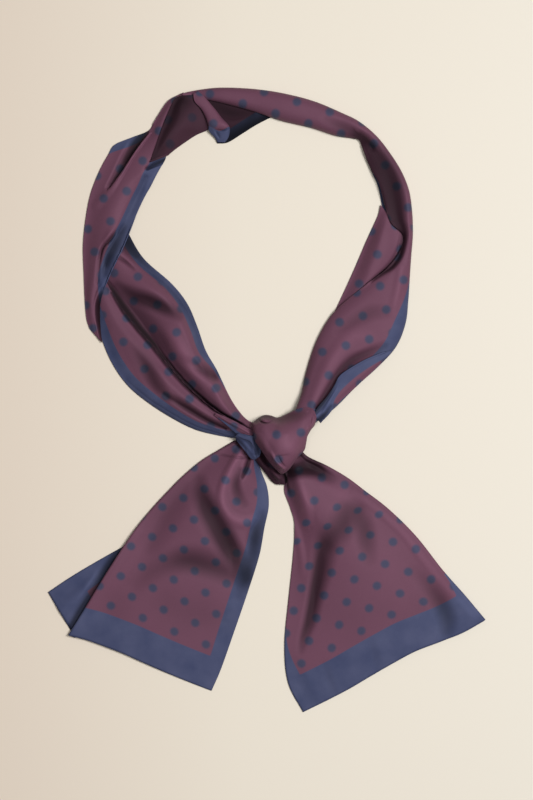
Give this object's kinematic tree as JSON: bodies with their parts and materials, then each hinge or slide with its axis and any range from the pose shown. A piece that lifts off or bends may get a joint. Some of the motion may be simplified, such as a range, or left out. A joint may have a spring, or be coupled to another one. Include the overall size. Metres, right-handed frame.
{
  "type": "knotted neck scarf laid flat",
  "caption": "Long narrow silk scarf tied in a loop with one overhand knot and two spread tails, laid flat on a table.",
  "frame": {"origin": "on the table under the middle of the knot, at the flat underside that rests there", "axes": "+Z up from the table; +Y from the knot to the top of the loop, so the two tails point along -Y; +X to the right as seen from above with +Y up"},
  "size_m": [0.3072, 0.437, 0.0282],
  "materials": {
    "silk": "satin twill, printed with small blue dots and navy borders"
  },
  "bodies": {
    "root": {"tail_left_under": "silk", "tail_left": "silk", "tail_right": "silk", "lobe_left": "silk", "twist_under": "silk", "twist_dark": "silk", "loop_right_inner": "silk", "loop_right": "silk", "lobe_right_flap": "silk", "twist_strip": "silk", "lapel_left": "silk", "knot_under": "silk", "knot_strip": "silk", "knot_collar": "silk", "knot_wrap": "silk", "knot_core": "silk"}
  },
  "joints": []
}
